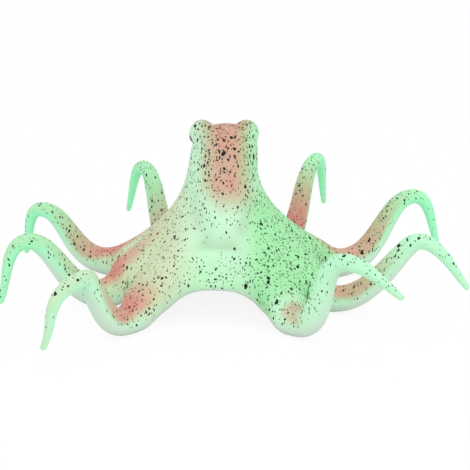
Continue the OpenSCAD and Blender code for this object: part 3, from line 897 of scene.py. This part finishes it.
# Soft patches of the skin: how much each gives at most and, for every measure that it names,
# the value where it begins and the value where it is full. x, y and z are in mm, off is the
# distance from the middle plane and off_crown from the crown's own, up is how far the skin
# faces up, and along is the station.
ON_HEAD = {"z": (36, 46)}
RIGHT_WEB = {"x": (4, 13), "z": (44, 33), "along": (0.9, 0.1)}
CROWN_X = 0.7
PATCHES = {
    "head": (1, ON_HEAD),
    "stripe": (0.74, {"z": BACK_LOW, "y": (9, 2)}),
    "crown": (0.12, {"z": (57.0, 60.5)}),
    "wash": (0.12, {"x": (-5, -20), "z": (46, 34), "up": (-0.1, 0.4)}),
    # Painted shade in the crease under the mantle's lower end, on the back near the middle
    "crease_shade": (0.35, {"y": (-8, -16), "off": (13, 6)}),
    "fresh_arm": (1, {"along": (1.0, 1.9)}),
    "fresh_head": (0.4, {**ON_HEAD, "x": (2, 9)}),
    "leaf_web": (0.8, RIGHT_WEB),
    "leaf_head": (0.35, {**ON_HEAD, "x": (3, 9)}),
    "leaf_skirt": (0.35, {"z": (22, 14), "y": (-12, -24), "off": (16, 8)}),
    # Darkens the crown brown: partly a haze of black spray, partly painted shade over the top of the
    # head
    "crown_haze_and_shade": (0.42, {"z": (48, 61), "off_crown": (11, 6)}),
    "sand": (0.45, {"x": (-5, -20), "z": (48, 30), "along": (1.2, 0.2)}),
    "pale": (0.9, {"up": (0.1, -0.5), "along": (2.1, 1.5)}),
    "flecks_up": (1, {"up": (-0.4, 0.1)}),
    "flecks_head": (0.4, ON_HEAD),
    "flecks_right": (0.34, RIGHT_WEB),
    "bare": (0.7, {"off": (15, 8), "y": (-8, -14)}),
}


def masks():
    """How much each coat covers at each point, and how thick the spatter is.

    A patch is its share times the product of smoothstep over its measures. Salmon fades as e
    to the minus cube of the distance from its middle, counted in its own run. The coats of
    salmon lie over each other, so what they leave bare is multiplied.
    """
    along, top, side, crease, coat_cos, coat_sin, coat_at, coat_run, coat_share, fresh = FACTS.T
    x, y, z = POINTS.T
    measures = {
        "x": x, "y": y, "z": z, "up": NORMALS[:, 2], "along": along,
        "off": np.abs(x), "off_crown": np.abs(x - CROWN_X),
    }
    patch = {}
    for name, (share, edges) in PATCHES.items():
        patch[name] = share * np.prod([smoothstep(*edges[key], measures[key]) for key in edges], axis=0)

    # The coat lies on the crest of web and root and on the inner side of the rising limb.
    least = mix(*COAT_EDGE, smoothstep(*COAT_TURNS, along))
    facing_up = smoothstep(0, COAT_SOFT, top * coat_sin + side * coat_cos - least)
    arms = coat_share * np.exp(-np.abs((along - coat_at) / coat_run) ** COAT_POWER) * facing_up
    off = x - mix(*BACK_X, smoothstep(*BACK_LOW, z))
    run = mix(*BACK_RUN, smoothstep(*BACK_NARROWS, z))
    stripe = patch["stripe"] * np.exp(-(np.abs(off / run) ** COAT_POWER))
    below = 1 - patch["head"]
    bare = (1 - arms * below) * (1 - stripe) * (1 - patch["crown"]) * (1 - patch["wash"] * below)
    blush = np.clip(1 - bare, 0, 1)
    band = patch["bare"] * np.exp(-(((z - BARE_H) / BARE_RUN) ** 2))
    thick = np.interp(along, FLECKS_AT, FLECKS_SHARES) * patch["flecks_up"] * (1 - band)
    return {
        "blush": blush,
        "ochre": OCHRE_SHARE * blush * (1 - blush),
        # Painted shade in the crease between mantle and web
        "crease_shade": patch["crease_shade"] * crease,
        "fresh": np.clip(fresh * patch["fresh_arm"] + patch["fresh_head"], 0, 1),
        "leaf": np.maximum.reduce([patch["leaf_web"], patch["leaf_head"], patch["leaf_skirt"]]),
        # Brown darkening at the crown, partly a haze of spray and partly painted shade
        "crown_haze_and_shade": patch["crown_haze_and_shade"],
        "sand": patch["sand"],
        "pale": patch["pale"],
        "flecks": thick * (FLECKS_WEB + patch["flecks_head"] + patch["flecks_right"]),
    }


MASKS = masks()
RUBBER = soft_rubber()


def open_rims(quads):
    """Closed rows of the points along each open edge of some faces, each the other way round
    than the faces beside it."""
    sides = np.stack([quads, np.roll(quads, -1, axis=1)], axis=-1).reshape(-1, 2)
    known = set(map(tuple, sides.tolist()))
    follows = {b: a for a, b in known if (b, a) not in known}
    rims = []
    while follows:
        rim = [next(iter(follows))]
        while rim[-1] in follows:
            rim.append(follows.pop(rim[-1]))
        rims.append(rim[:-1])
    return rims


def make_piece(name, which):
    """A closed mesh of the faces marked in which and a flat lid over each open end. The whole
    skin's normals are kept, so that no seam shows between two pieces."""
    used, index = np.unique(QUADS[which], return_inverse=True)
    quads = index.reshape(-1, 4)
    place_at = (POINTS[used] + MIDDLE) * MM
    lids = open_rims(quads)
    mesh = bpy.data.meshes.new(name)
    mesh.from_pydata(place_at.tolist(), [], quads.tolist() + lids)
    rest = mesh.attributes.new("rest_place", "FLOAT_VECTOR", "POINT")
    rest.data.foreach_set("vector", place_at.ravel())
    for key, values in MASKS.items():
        mesh.attributes.new(key, "FLOAT", "POINT").data.foreach_set("value", values[used])
    mesh.polygons.foreach_set("use_smooth", np.ones(len(mesh.polygons), bool))
    normals = [NORMALS[used][quads.ravel()]]
    for face, lid in zip(list(mesh.polygons)[len(quads):], lids):
        normals.append(np.tile(face.normal, (len(lid), 1)))
    mesh.normals_split_custom_set(np.vstack(normals).tolist())
    mesh.materials.append(RUBBER)
    piece = bpy.data.objects.new(name, mesh)
    bpy.context.collection.objects.link(piece)
    return piece


def make_pieces():
    """The skin's pieces: the torso on its body, each arm's limb and tip left where they lie, and the
    frame's parts under them hidden.
    """
    torso = make_piece("torso_skin", PARTS == TORSO)
    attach(torso, "torso")
    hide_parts("web", "mantle", "head", *(f"arm_root_{arm}" for arm in ARMS))
    for i, arm in enumerate(ARMS):
        limb = make_piece(f"limb_skin_{arm}", PARTS == LIMBS + i)
        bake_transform(limb)
        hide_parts(f"arm_limb_{arm}")
        tip = make_piece(f"tip_skin_{arm}", PARTS == TIPS + i)
        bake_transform(tip)
        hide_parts(f"arm_tip_{arm}")


def dress_eyes():
    """Polished black on the two beads, which stay as they are in the frame."""
    bead = gloss_black()
    for name in ("eye_l", "eye_r"):
        eye = frame["nodes"][name]
        for slot in eye.material_slots:
            slot.material = bead


# Studio


# Lens and sensor in mm, how far up and round the camera stands in degrees, and how far off
LENS = 91.7
SENSOR = 36.0
CAMERA_UP = 19.5
CAMERA_AZ = 0.3
CAMERA_OFF = 420.0
LOOKS_AT = np.array([4.36, 0.025, 19.8])


def make_camera():
    """The camera stands behind the octopus, a little above it."""
    camera = bpy.data.cameras.new("camera")
    camera.lens = LENS
    camera.sensor_width = SENSOR
    body = bpy.data.objects.new("camera", camera)
    bpy.context.collection.objects.link(body)
    up, az = math.radians(CAMERA_UP), math.radians(CAMERA_AZ)
    back = np.array([math.sin(az) * math.cos(up), -math.cos(az) * math.cos(up), math.sin(up)])
    body.location = (LOOKS_AT + MIDDLE + back * CAMERA_OFF) * MM
    body.rotation_euler = (math.pi / 2 - up, 0, az)
    bpy.context.scene.camera = body


def make_lamp(name, place_at, size, watts):
    """A square soft box that is turned towards the ornament."""
    lamp = bpy.data.lights.new(name, "AREA")
    lamp.shape = "SQUARE"
    lamp.size = size
    lamp.energy = watts
    body = bpy.data.objects.new(name, lamp)
    bpy.context.collection.objects.link(body)
    body.location = place_at
    aim = np.array(LAMP_AIM) - np.array(place_at)
    level = math.hypot(aim[0], aim[1])
    body.rotation_euler = (math.atan2(level, -aim[2]), 0, math.atan2(aim[1], aim[0]) - math.pi / 2)


WORLD_LIGHT = 0.83
LAMPS = (
    # Name, place in metres, watts
    ("key_lamp", (-0.5, -0.9, 0.9), 2.7),
    ("fill_lamp", (0.9, -0.7, 0.6), 2.3),
    ("top_lamp", (0.1, 0.3, 1.4), 1.4),
)
LAMP_SIZE = 0.9
LAMP_AIM = (0, 0, 0.02)
TABLE_SIZE = 3.0
TABLE_WHITE = "#E8E8E8"
# How far the table lies under the feet, so that the two don't meet in one plane
TABLE_GAP = 0.0002
# How much of the table's white is its own glow in the camera's eyes, so that only a faint
# shadow shows on it
TABLE_GLOW = 0.88


def make_world():
    """A soft even light, which the camera and clear reflections see as plain white."""
    world = bpy.data.worlds.new("studio")
    bpy.context.scene.world = world
    world.use_nodes = True
    tree = world.node_tree
    tree.nodes.clear()
    path = add(tree, "ShaderNodeLightPath")
    seen = path.outputs["Is Camera Ray"]
    for ray in ("Is Glossy Ray", "Is Transmission Ray"):
        either = {0: seen, 1: path.outputs[ray]}
        seen = add(tree, "ShaderNodeMath", {"operation": "MAXIMUM"}, either).outputs[0]
    dim = add(tree, "ShaderNodeBackground", {"Color": linear("#FFFFFF"), "Strength": WORLD_LIGHT})
    white = add(tree, "ShaderNodeBackground", {"Color": linear("#FFFFFF"), "Strength": 1.0})
    both = add(tree, "ShaderNodeMixShader", {}, {0: seen, 1: dim.outputs[0], 2: white.outputs[0]})
    add(tree, "ShaderNodeOutputWorld", {}, {"Surface": both.outputs[0]})


def make_table():
    """A plain table top in matt white laminate: no shine, only the ornament's faint shadow."""
    material, tree, shader = new_material("matt_white_laminate")
    shader.inputs["Base Color"].default_value = linear(TABLE_WHITE)
    shader.inputs["Roughness"].default_value = 0.9
    rest = 1 - TABLE_GLOW
    path = add(tree, "ShaderNodeLightPath")
    matt = add(tree, "ShaderNodeBsdfDiffuse", {"Color": [rest, rest, rest, 1]})
    glow = add(tree, "ShaderNodeEmission", {"Color": [1, 1, 1, 1], "Strength": TABLE_GLOW})
    lit = add(tree, "ShaderNodeAddShader", {}, {0: matt.outputs[0], 1: glow.outputs[0]})
    seen = path.outputs["Is Camera Ray"]
    both = add(tree, "ShaderNodeMixShader", {}, {0: seen, 1: shader.outputs[0], 2: lit.outputs[0]})
    tree.links.new(both.outputs[0], tree.nodes["Material Output"].inputs["Surface"])
    mesh = bpy.data.meshes.new("table")
    s = TABLE_SIZE
    mesh.from_pydata([(-s, -s, 0), (s, -s, 0), (s, s, 0), (-s, s, 0)], [], [(0, 1, 2, 3)])
    mesh.materials.append(material)
    table = bpy.data.objects.new("table", mesh)
    bpy.context.collection.objects.link(table)
    table.location.z = -TABLE_GAP


def make_studio():
    """A pale table under soft, even light."""
    bpy.context.scene.view_settings.view_transform = "Standard"
    make_world()
    make_table()
    for name, place_at, watts in LAMPS:
        make_lamp(name, place_at, LAMP_SIZE, watts)


make_camera()
make_studio()
make_pieces()
dress_eyes()
